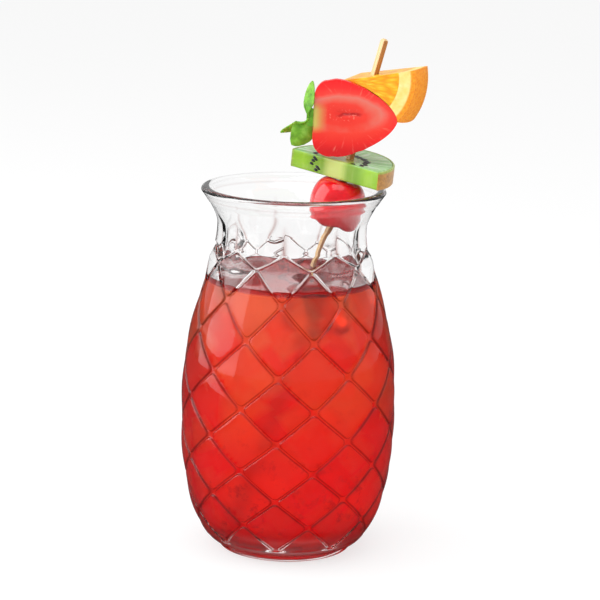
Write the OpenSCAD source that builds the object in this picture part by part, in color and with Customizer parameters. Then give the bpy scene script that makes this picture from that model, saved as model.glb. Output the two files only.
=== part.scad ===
// Pineapple tiki glass, served with an iced drink and a fruit skewer.
// A moulded glass with a quilt of diamonds, a scalloped neck and a flared lip.
// Millimetres, +Z up, the origin at the middle of the foot on the table, the front towards -Y.

/* [Glass] */
// Height from the table to the rim
height = 146; // [136:1:158]
// Diameter at the widest point of the belly
belly_d = 86; // [82:0.5:92]
// Height of the widest point of the belly
belly_z = 52; // [48:1:58]
// Diameter of the foot
foot_d = 53; // [48:0.5:58]
// Height of the foot ring
foot_h = 2.5; // [1.8:0.1:3.2]
// Diameter of the neck at its narrowest
neck_d = 59.4; // [57:0.2:63]
// Narrowest point of the neck, down from the rim
neck_drop = 14; // [13:0.5:17]
// Diameter of the lip
lip_d = 72; // [69:0.5:76]
// Radius that rounds each edge of the rim
lip_round = 1.4; // [0.8:0.1:1.6]
// Thickness of the wall
wall = 3.5; // [3.3:0.1:4.2]
// Thickness of the floor at its middle
floor_t = 7; // [5:0.5:9]
// Depth of the hollow under the foot
hollow = 1.6; // [0.8:0.1:2.5]

/* [Diamond pattern] */
// Diamonds in one row round the glass
diamonds = 9; // [7:1:11]
// Turn of the pattern round the axis, in degrees
pattern_turn = -5.8; // [-20:0.2:20]
// Height at which the diamonds start
quilt_z = 6.5; // [5:0.5:9]
// Lower points of the collar, down from the rim
collar_low_drop = 40.5; // [38:0.5:44]
// Side points of the collar, down from the rim
collar_mid_drop = 28.2; // [27:0.2:31]
// Upper points of the collar, down from the rim
collar_top_drop = 22.4; // [20.4:0.2:24.4]
// Width of the grooves between the diamonds
groove_w = 2; // [1.2:0.1:3]
// Depth of the grooves
groove_depth = 0.8; // [0.4:0.1:1]
// How far each diamond swells like a pillow
pillow = 0.5; // [0.2:0.1:0.8]
// Depth of the scallops on the neck
scallop = 1.5; // [0.8:0.1:1.8]

/* [Drink and ice] */
// Surface of the drink, down from the rim
drink_drop = 37; // [34:0.5:40]
// Edge of an ice cube
ice_size = 22; // [19:0.5:22.5]
// How far the top cubes stand out of the drink
ice_above = 3; // [1:0.5:5]

/* [Skewer] */
// Length of the pick
pick_l = 203; // [198:1:230]
// Side of the square pick
pick_w = 2.4; // [2:0.1:3]
// Lean of the pick
pick_lean = 14.3; // [11:0.1:15.5]
// Turn of the pick about its own length
pick_turn = 40; // [0:1:45]
// Length of the point at its lower end
pick_point = 5; // [3:0.5:8]
// Diameter of the cherry
cherry_d = 22; // [18:0.5:23]
// Height of the cherry
cherry_h = 17.5; // [15:0.5:20]

/* [Kiwi slice] */
// Diameter of the slice, with its skin
kiwi_d = 42.4; // [38:0.2:46]
// Thickness of the slice
kiwi_t = 7.3; // [5:0.1:9]
// Thickness of the skin
kiwi_skin_t = 0.8; // [0.5:0.1:1.5]
// Turn of the slice on the pick
kiwi_turn = 34; // [20:1:40]
// Rise of the slice towards its back
kiwi_tilt = 10; // [4:0.5:12]
// Rise of the slice towards its right end
kiwi_roll = 5; // [0:0.5:7]

/* [Strawberry half] */
// Length of the berry
berry_l = 33.8; // [29:0.2:36]
// Greatest half-width of the berry
berry_r = 15.4; // [13:0.1:16.5]
// Upward slope of the berry on the pick
berry_slope = 13; // [8:0.5:16]
// Length of the berry between its calyx and the pick
berry_lead = 19.7; // [16:0.1:21.5]
// Depth of the pick behind the cut face
berry_cut = 7; // [5:0.5:8]
// Room that the berry's grip on the pick keeps under it
berry_rest = 1.5; // [0.3:0.1:2]
// Length of a leaf
leaf_l = 13; // [10:0.5:15]
// Width of a leaf
leaf_w = 6; // [4:0.2:7]
// Thickness of a leaf
leaf_t = 0.8; // [0.6:0.1:1.2]

/* [Orange wedge] */
// Diameter of the orange
orange_d = 56.8; // [50:0.5:62]
// Thickness of the peel and its pith
peel_t = 4.5; // [3:0.1:6]
// Angle between the two long cuts
orange_angle = 46; // [38:1:50]
// Depth of the wedge from front to back
orange_depth = 19; // [14:0.5:24]
// Turn of the wedge on the pick
orange_turn = 22; // [10:1:30]
// Rise of the wedge towards its back
orange_tilt = 8; // [0:0.5:12]
// How far the berry presses into the wedge
orange_press = 4; // [0:0.2:4.5]

/* [Clearances] */
// Between pieces that rest on each other
rest_gap = 0.3; // [0.2:0.05:0.5]
// Between the drink and what it surrounds
film = 0.15; // [0.1:0.05:0.3]
// Round the pick in each fruit
pick_fit = 0.15; // [0.1:0.05:0.3]
// Between the cherry and the inside of the lip
cherry_room = 1.2; // [0.8:0.1:2.5]

/* [Hidden] */
$fn = 96;
ICE_COUNT = 12;
ICE_PER_LAYER = 3;

// Outer profile of the glass: a round belly on a foot ring, a shoulder that sweeps into the neck
// and a trumpet lip
neck_z = height - neck_drop;
collar_low = height - collar_low_drop;
collar_mid = height - collar_mid_drop;
collar_top = height - collar_top_drop;
drink_z = height - drink_drop;
belly_r = belly_d / 2;
foot_r = foot_d / 2;
neck_r = neck_d / 2;
lip_r = lip_d / 2;
lip_z = height - lip_round;
foot_round = 0.8;
belly_power = 2;
shoulder_power = 1.55;
lip_power = 1.45;

function ease(t) = t * t * (3 - 2 * t);
function unit(t) = max(0, min(1, t));
function quarter(t) = 1 - sqrt(max(0, 1 - t * t));
function lower_r(z) =
    let (down = unit((belly_z - z) / (belly_z - foot_h)))
    foot_r + (belly_r - foot_r) * sqrt(1 - pow(down, belly_power));
function shoulder_r(z) =
    let (up = (z - belly_z) / (neck_z - belly_z))
    belly_r - (belly_r - neck_r) * ease(pow(up, shoulder_power));
function lip_flare_r(z) =
    let (up = unit((z - neck_z) / (lip_z - neck_z)))
    neck_r + (lip_r - neck_r) * pow(up, lip_power);
function body_r(z) = z <= belly_z ? lower_r(z) : z <= neck_z ? shoulder_r(z) : lip_flare_r(z);

// Inner profile: the wall's thickness inside the outer one, with a rounded bowl for a floor
bowl_z = 24;
bowl_power = 3;
function wall_r(z) = body_r(z) - wall;
bowl_r = wall_r(bowl_z);
function bowl_curve(t) = pow(1 - pow(unit(t), bowl_power), 1 / bowl_power);
function bowl_floor(r) = bowl_z - (bowl_z - floor_t) * bowl_curve(r / bowl_r);
function bowl_reach(z) = bowl_r * bowl_curve((bowl_z - z) / (bowl_z - floor_t));
function inner_r(z) = z < bowl_z ? bowl_reach(z) : wall_r(z);

// Diamond lattice: whole numbers of p and q are grooves, p + q is a level and p - q a place round the glass
QUILT_LEVELS = 8;
COLLAR_LEVEL = QUILT_LEVELS + 1;
TOP_LEVEL = COLLAR_LEVEL + 1;
row_evenness = 0.86;
half_turn = 180 / diamonds;
quilt_h = collar_low - quilt_z;
function row_share(t) = row_evenness * t + (1 - row_evenness) * t * t;
function level_z(n) =
    n <= QUILT_LEVELS ? quilt_z + quilt_h * row_share(n / QUILT_LEVELS)
    : n <= COLLAR_LEVEL ? collar_low + (collar_mid - collar_low) * (n - QUILT_LEVELS)
    : collar_mid + (collar_top - collar_mid) * (n - COLLAR_LEVEL);

cell_w = PI * belly_d / diamonds;
cell_h = 2 * quilt_h / QUILT_LEVELS;
cell_across = cell_w * cell_h / norm([cell_w, cell_h]);
groove_share = groove_w / 2 / cell_across;
crown_share = 0.3;
CUTS = [0, groove_share, crown_share, 1 - crown_share, 1 - groove_share];
STEPS = len(CUTS);
COLUMNS = diamonds * STEPS;
function lattice(i) = floor(i / STEPS) + CUTS[i - STEPS * floor(i / STEPS)];
function off_groove(p) = abs(p - round(p));

// Height of the quilt: 0 on a pillow's crown, lowest in the grooves, with the corners of each pillow rounded
function edge_share(a, b) =
    let (e = min(1, min(a, b) / groove_share))
    max(a, b) <= groove_share + ROUND_OFF ? e / 3 : e;
function swell(a) = 1 - pow(1 - 2 * a, 2);
ROUND_OFF = 0.001;
scallop_rise = 0.45;
scallop_top = neck_z + scallop_rise * (height - neck_z);
function scallop_at(turn, z) =
    let (up = unit((z - collar_mid) / (collar_top - collar_mid)))
    let (fade = 1 - ease(unit((z - collar_top) / (scallop_top - collar_top))))
    scallop * (0.5 - 0.5 * cos(turn * diamonds)) * up * fade;
function relief(p, q, turn, z) =
    let (a = off_groove(p), b = off_groove(q))
    let (e = edge_share(a, b))
    let (above = floor(p + ROUND_OFF) + floor(q + ROUND_OFF) >= COLLAR_LEVEL)
    above ? -groove_depth * (1 - e) - pillow * (1 - e) - scallop_at(turn, z) * e
          : -groove_depth * (1 - e) - pillow * (1 - swell(a) * swell(b));

function ring_point(r, turn, z) =
    let (a = turn + pattern_turn - 90)
    [r * cos(a), r * sin(a), z];
function lattice_turn(c, k) = (lattice(c) - lattice(k - c)) * half_turn;
function quilt_point(c, k) =
    let (p = lattice(c), q = lattice(k - c))
    let (z = level_z(p + q), turn = (p - q) * half_turn)
    ring_point(body_r(z) + relief(p, q, turn, z), turn, z);

// Rings below and above the quilt, as [radius, height]
LAST_ROW = TOP_LEVEL * STEPS;
flank = quilt_z - foot_h;
foot_rings = concat([[foot_r - foot_round, 0], [foot_r, foot_round], [foot_r, foot_h]],
                    [for (t = [0.12, 0.4, 0.7])
                        [body_r(foot_h + flank * t) - pillow * t, foot_h + flank * t]]);
NECK_RINGS = 8;
neck_rise = lip_z - collar_top;
neck_rings = [for (i = [1:NECK_RINGS])
    let (z = collar_top + neck_rise * i / NECK_RINGS)
    [body_r(z), z]];
rim_rings = [for (t = [0.4, 0.75, 1]) [lip_r - lip_round * quarter(t), lip_z + lip_round * t]];

function plain_row(ring, k) = [for (c = [0:COLUMNS - 1]) ring_point(ring[0], lattice_turn(c, k), ring[1])];
function quilt_row(k) = [for (c = [0:COLUMNS - 1]) quilt_point(c, k)];
function neck_row(ring) = [for (c = [0:COLUMNS - 1])
    let (turn = lattice_turn(c, LAST_ROW))
    ring_point(ring[0] - scallop_at(turn, ring[1]), turn, ring[1])];
skin_rows = concat(
    [for (ring = foot_rings) plain_row(ring, 0)],
    [for (k = [0:LAST_ROW]) quilt_row(k)],
    [for (ring = neck_rings) neck_row(ring)],
    [for (ring = rim_rings) plain_row(ring, LAST_ROW)]);
skin_points = concat([for (row = skin_rows) each row], [[0, 0, 0], [0, 0, height]]);

function at(row, c) = row * COLUMNS + c % COLUMNS;
SKIN_ROWS = len(skin_rows);
UNDER = SKIN_ROWS * COLUMNS;
OVER = UNDER + 1;
skin_faces = concat(
    [for (row = [0:SKIN_ROWS - 2], c = [0:COLUMNS - 1]) each [
        [at(row, c), at(row + 1, c + 1), at(row, c + 1)],
        [at(row, c), at(row + 1, c), at(row + 1, c + 1)]]],
    [for (c = [0:COLUMNS - 1]) [at(0, c), at(0, c + 1), UNDER]],
    [for (c = [0:COLUMNS - 1]) [at(SKIN_ROWS - 1, c + 1), at(SKIN_ROWS - 1, c), OVER]]);

// Half outline of the space inside the glass, up to a height, kept a gap away from the wall
BOWL_STEPS = 12;
WALL_STEPS = 26;
function bowl_outline(gap) = [for (i = [0:BOWL_STEPS])
    let (a = 90 * i / BOWL_STEPS)
    [(bowl_r - gap) * sin(a), i == BOWL_STEPS ? bowl_z : bowl_floor(bowl_r * sin(a)) + gap * cos(a)]];
function wall_outline(gap, top) = [for (i = [1:WALL_STEPS])
    let (z = bowl_z + (top - bowl_z) * i / WALL_STEPS)
    [wall_r(z) - gap, z]];
rim_inside = [for (t = [0.35, 0.7, 0.9, 1])
    [lip_r - wall + lip_round * quarter(t), lip_z + lip_round * t]];
open_top = 1;

module glass() {
    color([0.88, 0.94, 0.95, 0.45])
    difference() {
        polyhedron(skin_points, skin_faces);
        rotate_extrude()
            polygon(concat(bowl_outline(0), wall_outline(0, lip_z), rim_inside,
                           [[lip_r - wall + lip_round, height + open_top], [0, height + open_top]]));
        foot_hollow();
    }
}

// Shallow dome under the foot, which leaves a ring to stand on
stand_ring = 6;
hollow_r = foot_r - stand_ring;
dome_r = (hollow_r * hollow_r + hollow * hollow) / (2 * hollow);
module foot_hollow() {
    translate([0, 0, hollow - dome_r])
        sphere(r = dome_r);
}

// Ice cubes in layers of three, each layer turned so that the pick passes between its cubes
ICE_LAYERS = ICE_COUNT / ICE_PER_LAYER;
ICE_LOW_ROOM = 7;
ICE_REACH = 0.55;
ICE_SPAN = 0.35;
ICE_SIDE_GAP = 0.7;
ICE_TURNS = [0, 55, 60, 60];
ICE_ROUNDING = 1.387;
ICE_TILT = 4;
ICE_TOP_TILT = 1.2;
ICE_TILT_STEP = 137;
ice_ball = ice_size * ICE_ROUNDING;
ice_low_z = floor_t + ICE_LOW_ROOM + ice_size / 2;
ice_top_z = drink_z + ice_above - ice_size / 2;
function ice_layer(i) = floor((i - 1) / ICE_PER_LAYER);
function ice_z(layer) = ice_low_z + (ice_top_z - ice_low_z) * layer / (ICE_LAYERS - 1);
function ice_room(z) = min(inner_r(z - ice_size * ICE_SPAN), inner_r(z + ice_size * ICE_SPAN));
function ice_ring(layer) = ice_room(ice_z(layer)) - ice_size * ICE_REACH - ICE_SIDE_GAP;
function ice_tilt(i, k) =
    (ice_layer(i) == ICE_LAYERS - 1 ? ICE_TOP_TILT : ICE_TILT) * sin(ICE_TILT_STEP * (i + k));

module ice_block(i, grow) {
    layer = ice_layer(i);
    turn = ICE_TURNS[layer] + 360 * (i - 1) / ICE_PER_LAYER;
    rotate([0, 0, turn])
        translate([ice_ring(layer), 0, ice_z(layer)])
            rotate([ice_tilt(i, 0), ice_tilt(i, ICE_PER_LAYER + 2), 0])
                intersection() {
                    cube(ice_size + 2 * grow, center = true);
                    sphere(d = ice_ball + 2 * grow);
                }
}

module ice_cube(i) {
    color([0.9, 0.95, 0.97, 0.6])
        ice_block(i, 0);
}

module drink() {
    color([0.92, 0.25, 0.12, 0.8])
    difference() {
        rotate_extrude()
            polygon(concat(bowl_outline(film), wall_outline(film, drink_z), [[0, drink_z]]));
        for (i = [1:ICE_COUNT]) ice_block(i, film);
        on_pick(0)
            pick_hole(rest_gap);
    }
}

// The pick leans on the rim through the fruit: the cherry hangs inside the lip, the kiwi lies on the rim
lean_s = sin(pick_lean);
lean_c = cos(pick_lean);
cherry_level = 0.6;
cherry_x = lip_flare_r(neck_z + cherry_level * (height - neck_z)) - wall - cherry_d / 2 - cherry_room;
cherry_drop = rest_gap + cherry_h / 2;
cherry_z = height + rest_gap - (cherry_drop + (cherry_x - lip_r) * lean_s) / lean_c;
function lean_x(z) = cherry_x - (cherry_z - z) * lean_s / lean_c;
foot_z_guess = bowl_floor(abs(lean_x(floor_t)));
pick_foot_z = bowl_floor(abs(lean_x(foot_z_guess)) + pick_w / 2) + rest_gap;
pick_foot_x = lean_x(pick_foot_z);
cherry_sink = 1;
cherry_s = (cherry_z - pick_foot_z) / lean_c - cherry_sink;

module on_pick(s) {
    translate([pick_foot_x, 0, pick_foot_z])
        rotate([0, pick_lean, 0])
            translate([0, 0, s])
                children();
}

module pick_hole(gap) {
    rotate([0, 0, pick_turn])
        cube([pick_w + 2 * gap, pick_w + 2 * gap, 3 * pick_l], center = true);
}

// Square stick, drawn in to a blunt point at its lower end
pick_blunt = 0.8;
pick_side = [[-pick_blunt / 2, 0], [pick_blunt / 2, 0], [pick_w / 2, pick_point],
             [pick_w / 2, pick_l], [-pick_w / 2, pick_l], [-pick_w / 2, pick_point]];
module pick_blade() {
    rotate([90, 0, 0])
        linear_extrude(2 * pick_w, center = true)
            polygon(pick_side);
}

module pick() {
    color([0.8, 0.6, 0.36])
    on_pick(0)
        rotate([0, 0, pick_turn])
            intersection() {
                pick_blade();
                rotate([0, 0, 90])
                    pick_blade();
            }
}

// Round body with a shallow dimple at each end
cherry_dimple = 0.18;
cherry_plump = 0.8;
DIMPLE_POWER = 8;
function cherry_rise(a) = sin(a) - cherry_dimple * sign(a) * pow(abs(sin(a)), DIMPLE_POWER);
cherry_peak = max([for (a = [0:9:90]) cherry_rise(a)]);
cherry_profile = [for (a = [-90:9:90])
    [cherry_d / 2 * pow(cos(a), cherry_plump), cherry_h / 2 * cherry_rise(a) / cherry_peak]];
module cherry() {
    color([0.75, 0.04, 0.06])
    on_pick(cherry_s)
        difference() {
            rotate_extrude()
                polygon(cherry_profile);
            pick_hole(pick_fit);
        }
}

// Part of a round slice, its cut towards the viewer and its skin behind. It lies askew on the pick
kiwi_r = kiwi_d / 2;
kiwi_ahead = 3.5;
kiwi_side = 1.1;
kiwi_back = 2.4;
skin_seam = 0.05;
turn_s = sin(kiwi_turn);
turn_c = cos(kiwi_turn);
tilt_s = sin(kiwi_tilt);
tilt_c = cos(kiwi_tilt);
roll_s = sin(kiwi_roll);
roll_c = cos(kiwi_roll);
// Its directions along the cut, to the back and upwards, as they lie on the pick
kiwi_u = [roll_c * turn_c - roll_s * tilt_s * turn_s, -roll_c * turn_s - roll_s * tilt_s * turn_c,
          roll_s * tilt_c];
kiwi_v = [tilt_c * turn_s, tilt_c * turn_c, tilt_s];
kiwi_n = [-roll_s * turn_c - roll_c * tilt_s * turn_s, roll_s * turn_s - roll_c * tilt_s * turn_c,
          roll_c * tilt_c];
// Height of its lower face, or of a level above that, over a place on the pick's cross plane
function kiwi_face(x, y, up) = (up - kiwi_n[0] * x - kiwi_n[1] * y) / kiwi_n[2];
kiwi_s = cherry_s + rest_gap / kiwi_n[2]
    + max([for (k = cherry_profile, a = [0:15:345])
        k[1] - kiwi_face(k[0] * cos(a), k[0] * sin(a), 0)]);
module kiwi_frame() {
    on_pick(kiwi_s)
        rotate([0, 0, -kiwi_turn])
            rotate([kiwi_tilt, 0, 0])
                rotate([0, -kiwi_roll, 0])
                    translate([-kiwi_side, -kiwi_back, 0])
                        children();
}

module behind_cut(depth) {
    translate([-2 * depth, 0, -2 * depth])
        cube([4 * depth, 2 * depth, 4 * depth]);
}

module kiwi_flesh() {
    color([0.6, 0.76, 0.2])
    difference() {
        kiwi_frame()
            intersection() {
                cylinder(r = kiwi_r - kiwi_skin_t - skin_seam, h = kiwi_t);
                translate([0, -kiwi_ahead, 0])
                    behind_cut(kiwi_r);
            }
        on_pick(0)
            pick_hole(pick_fit);
    }
}

module kiwi_skin() {
    color([0.45, 0.3, 0.12])
    kiwi_frame()
        intersection() {
            difference() {
                cylinder(r = kiwi_r, h = kiwi_t);
                translate([0, 0, -kiwi_t])
                    cylinder(r = kiwi_r - kiwi_skin_t, h = 3 * kiwi_t);
            }
            translate([0, -kiwi_ahead, 0])
                behind_cut(kiwi_r);
        }
}

// Berry outline from the calyx to the tip as one cubic curve, [along, half-width]
function cubic(a, b, c, d, t) =
    pow(1 - t, 3) * a + 3 * t * pow(1 - t, 2) * b + 3 * t * t * (1 - t) * c + pow(t, 3) * d;
calyx_seat = 1.5;
calyx_r = 4;
berry_knots = [[calyx_seat, calyx_r], [-0.078 * berry_l, 1.71 * berry_r],
               [0.942 * berry_l, 0.7 * berry_r], [berry_l, 0]];
BERRY_STEPS = 18;
berry_outline = [for (i = [0:BERRY_STEPS])
    cubic(berry_knots[0], berry_knots[1], berry_knots[2], berry_knots[3], i / BERRY_STEPS)];
berry_c = cos(berry_slope);
berry_sn = sin(berry_slope);
berry_start = -berry_lead;
// Points of the berry, as they lie round the pick, and those of them that stand over the kiwi
berry_points = [for (k = berry_outline, a = [0:15:180])
    [berry_start + k[0] * berry_c - k[1] * cos(a) * berry_sn, k[1] * sin(a) - berry_cut,
     k[0] * berry_sn + k[1] * cos(a) * berry_c]];
function over_kiwi(p, room) =
    let (q = [p[0], p[1], kiwi_face(p[0], p[1], kiwi_t)], u = q * kiwi_u + kiwi_side,
         v = q * kiwi_v + kiwi_back)
    v > -kiwi_ahead - room && norm([u, v]) < kiwi_r + room;
berry_s = kiwi_s + berry_rest
    + max([for (p = berry_points) if (over_kiwi(p, 1)) kiwi_face(p[0], p[1], kiwi_t) - p[2]]);

module berry_frame() {
    on_pick(berry_s)
        translate([berry_start, -berry_cut, 0])
            rotate([0, -berry_slope, 0])
                children();
}

module berry_body(grow) {
    intersection() {
        rotate([0, 90, 0])
            rotate_extrude()
                polygon(concat([[0, calyx_seat - grow]], [for (k = berry_outline) [k[1] + grow, k[0]]],
                               grow > 0 ? [[0, berry_l + grow]] : []));
        translate([0, -grow, 0])
            behind_cut(berry_l);
    }
}

module strawberry_half() {
    color([0.9, 0.12, 0.12])
    difference() {
        berry_frame()
            berry_body(0);
        on_pick(0)
            pick_hole(pick_fit);
    }
}

// A leaf springs from the calyx, widens, curls away and turns its face as it goes.
// Each has its place round the calyx, its length and width as shares, its curl and its twist
LEAF_STEPS = 7;
LEAVES = [[12, 1.1, 0.75, 0.2, 45], [60, 0.92, 0.9, 0.4, 0], [105, 0.92, 0.9, 0.6, 0],
          [150, 0.95, 1.1, 0.8, 70], [172, 1.03, 1, 1.5, 75]];
LEAF_ROOT = 0.3;
LEAF_WAIST = 0.8;
leaf_lift = 0.3;
LEAF_TROUGH = 0.15;
LEAF_LEAN = 40;
LEAF_BEND = 62;
function leaf_mid(t, leaf) =
    [leaf_l * leaf[1] * t * cos(LEAF_LEAN * leaf[3] * t),
     leaf_l * leaf[1] * t * sin(LEAF_BEND * leaf[3] * t) + leaf_lift];
function leaf_way(t, leaf) =
    let (d = leaf_mid(t + 0.02, leaf) - leaf_mid(t - 0.02, leaf)) atan2(d[1], d[0]);
function leaf_swell(t) = LEAF_ROOT + (1 - LEAF_ROOT) * sin(180 * pow(t, LEAF_WAIST));
function leaf_half(t, leaf) = leaf_w / 2 * leaf[2] * leaf_swell(t) * (1 - 0.9 * pow(t, 6));
function leaf_row(t, leaf) =
    let (m = leaf_mid(t, leaf), mid = [m[0], 0, m[1]], h = leaf_half(t, leaf), sag = LEAF_TROUGH * h,
         way = leaf_way(t, leaf), twist = leaf[4] * ease(unit(2.5 * t)),
         u = [-sin(way) * sin(twist), cos(twist), cos(way) * sin(twist)] * h,
         v = [-sin(way) * cos(twist), -sin(twist), cos(way) * cos(twist)])
    [mid - u + v * sag, mid, mid + u + v * sag,
     mid + u + v * (sag + leaf_t), mid + v * leaf_t, mid - u + v * (sag + leaf_t)];
LEAF_SIDES = 6;
function leaf_points(leaf) = [for (i = [0:LEAF_STEPS]) each leaf_row(i / LEAF_STEPS, leaf)];
leaf_faces = concat(
    [for (i = [0:LEAF_STEPS - 1], j = [0:LEAF_SIDES - 1])
        let (n = (j + 1) % LEAF_SIDES, a = i * LEAF_SIDES)
        each [[a + j, a + LEAF_SIDES + j, a + LEAF_SIDES + n], [a + j, a + LEAF_SIDES + n, a + n]]],
    [[0, 1, 4, 5], [1, 2, 3, 4]],
    [for (quad = [[5, 4, 1, 0], [4, 3, 2, 1]]) [for (j = quad) j + LEAF_STEPS * LEAF_SIDES]]);

calyx_t = 1.4;
module strawberry_calyx() {
    color([0.36, 0.55, 0.16])
    berry_frame() {
        intersection() {
            translate([-calyx_t, 0, 0])
                rotate([0, 90, 0])
                    cylinder(r = calyx_r - rest_gap, h = calyx_t + calyx_seat - rest_gap);
            behind_cut(berry_l);
        }
        for (leaf = LEAVES)
            rotate([-leaf[0], 0, 0])
                rotate([0, -90, 0])
                    polyhedron(leaf_points(leaf), leaf_faces);
    }
}

// A wedge of a round orange, cut flat in front and behind, that the berry has pressed a hollow into
orange_r = orange_d / 2;
orange_half = orange_angle / 2;
orange_core = [-9.5, 8];
orange_front = 15;
// How far a point of the berry lies along the wedge and towards its back
function orange_u(p) = p[0] * cos(orange_turn) - p[1] * sin(orange_turn) - orange_core[0];
function orange_v(p) = p[0] * sin(orange_turn) + p[1] * cos(orange_turn) - orange_core[1];
function under_orange(p) =
    orange_u(p) > -0.5 && orange_v(p) > -orange_front - 0.5
    && orange_v(p) < orange_depth - orange_front + 0.5;
orange_s = berry_s - orange_press + rest_gap / cos(orange_half)
    + max([for (p = berry_points) if (under_orange(p)) p[2] + orange_u(p) * tan(orange_half)]);

module orange_frame() {
    on_pick(orange_s)
        rotate([0, 0, -orange_turn])
            rotate([orange_tilt, 0, 0])
                translate([orange_core[0], orange_core[1], 0])
                    children();
}

// The berry with a little room round it, drawn out down the pick
module berry_hollow() {
    hull()
        for (down = [0, -berry_l])
            on_pick(berry_s + down)
                translate([berry_start, -berry_cut, 0])
                    rotate([0, -berry_slope, 0])
                        berry_body(1.5 * rest_gap);
}

module orange_wedge() {
    side = 2 * orange_r;
    translate([0, orange_depth - orange_front, 0])
        rotate([90, 0, 0])
            linear_extrude(orange_depth)
                polygon([[0, 0], [side, -side * tan(orange_half)], [side, side * tan(orange_half)]]);
}

module orange_flesh() {
    color([0.96, 0.66, 0.14])
    difference() {
        orange_frame()
            intersection() {
                sphere(r = orange_r - peel_t - skin_seam);
                orange_wedge();
            }
        berry_hollow();
        on_pick(0)
            pick_hole(pick_fit);
    }
}

module orange_peel() {
    color([0.93, 0.5, 0.08])
    difference() {
        orange_frame()
            intersection() {
                difference() {
                    sphere(r = orange_r);
                    sphere(r = orange_r - peel_t);
                }
                orange_wedge();
            }
        berry_hollow();
    }
}

glass();
drink();
for (i = [1:ICE_COUNT]) ice_cube(i);
pick();
cherry();
kiwi_flesh();
kiwi_skin();
strawberry_half();
strawberry_calyx();
orange_flesh();
orange_peel();
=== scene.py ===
import math

import bmesh
import bpy
import numpy as np
from mathutils import Matrix, Vector, noise


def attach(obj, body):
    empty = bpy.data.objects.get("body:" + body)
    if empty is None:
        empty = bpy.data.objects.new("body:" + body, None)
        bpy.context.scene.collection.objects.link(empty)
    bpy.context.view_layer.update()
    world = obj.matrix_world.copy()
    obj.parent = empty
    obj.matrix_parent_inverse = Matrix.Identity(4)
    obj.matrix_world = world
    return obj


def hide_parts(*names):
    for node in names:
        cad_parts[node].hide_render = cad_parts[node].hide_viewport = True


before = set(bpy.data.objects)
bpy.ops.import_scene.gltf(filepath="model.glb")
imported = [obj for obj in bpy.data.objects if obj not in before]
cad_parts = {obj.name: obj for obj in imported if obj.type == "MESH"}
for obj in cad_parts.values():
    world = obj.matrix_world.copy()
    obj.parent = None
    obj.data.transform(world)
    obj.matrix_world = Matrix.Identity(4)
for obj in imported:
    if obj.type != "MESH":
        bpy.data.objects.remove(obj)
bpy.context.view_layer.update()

scene = bpy.context.scene
scene.view_settings.view_transform = "Standard"
MM = 0.001

# Sizes in millimetres, the same as the part's own
HEIGHT, BELLY_R, BELLY_Z, FOOT_R, FOOT_H = 146.0, 43.0, 52.0, 26.5, 2.5
NECK_R, NECK_Z, LIP_R, LIP_ROUND, WALL, FLOOR_T, HOLLOW = 29.7, 132.0, 36.0, 1.4, 3.5, 7.0, 1.6
DIAMONDS, PATTERN_TURN, QUILT_Z = 9, -5.8, 6.5
COLLAR_LOW, COLLAR_MID, COLLAR_TOP = 105.5, 117.8, 123.6
GROOVE_W, GROOVE_DEPTH, PILLOW, SCALLOP = 2.0, 0.8, 0.5, 1.5
DRINK_Z, ICE_SIZE, ICE_ABOVE = 109.0, 22.0, 3.0
PICK_L, PICK_W, PICK_LEAN, PICK_TURN, PICK_POINT = 203.0, 2.4, 14.3, 40.0, 5.0
CHERRY_D, CHERRY_H = 22.0, 17.5
KIWI_D, KIWI_T, KIWI_SKIN, KIWI_AHEAD, KIWI_SIDE, KIWI_BACK = 42.4, 7.3, 0.8, 3.5, 1.1, 2.4
KIWI_TURN, KIWI_TILT, KIWI_ROLL = math.radians(34), math.radians(10), math.radians(5)
BERRY_L, BERRY_R, BERRY_SLOPE, BERRY_LEAD, BERRY_CUT, BERRY_REST = 33.8, 15.4, 13.0, 19.7, 7.0, 1.5
LEAF_L, LEAF_W, LEAF_T = 13.0, 6.0, 0.8
ORANGE_R, PEEL_T, ORANGE_HALF, ORANGE_DEPTH, ORANGE_FRONT = 28.4, 4.5, 23.0, 19.0, 15.0
ORANGE_TURN, ORANGE_TILT, ORANGE_PRESS = math.radians(22), math.radians(8), 4.0
ORANGE_CORE = (-9.5, 8.0)
REST_GAP, CHERRY_ROOM, CHERRY_SINK = 0.3, 1.2, 1.0
LIP_Z = HEIGHT - LIP_ROUND
BOWL_Z, BOWL_POWER = 24.0, 3.0


# Profile of the glass
def ease(t):
    return t * t * (3 - 2 * t)


def unit(t):
    return np.clip(t, 0.0, 1.0)


def body_r(z):
    z = np.asarray(z, dtype=float)
    down = unit((BELLY_Z - z) / (BELLY_Z - FOOT_H))
    lower = FOOT_R + (BELLY_R - FOOT_R) * np.sqrt(1 - down ** 2)
    up = unit((z - BELLY_Z) / (NECK_Z - BELLY_Z))
    shoulder = BELLY_R - (BELLY_R - NECK_R) * ease(up ** 1.55)
    flare = NECK_R + (LIP_R - NECK_R) * unit((z - NECK_Z) / (LIP_Z - NECK_Z)) ** 1.45
    return np.where(z <= BELLY_Z, lower, np.where(z <= NECK_Z, shoulder, flare))


BOWL_R = float(body_r(BOWL_Z)) - WALL


def bowl_curve(t):
    return (1 - unit(t) ** BOWL_POWER) ** (1 / BOWL_POWER)


def bowl_floor(r):
    return BOWL_Z - (BOWL_Z - FLOOR_T) * bowl_curve(r / BOWL_R)


def inner_r(z):
    low = BOWL_R * bowl_curve((BOWL_Z - z) / (BOWL_Z - FLOOR_T))
    return np.where(np.asarray(z) < BOWL_Z, low, body_r(z) - WALL)


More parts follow.
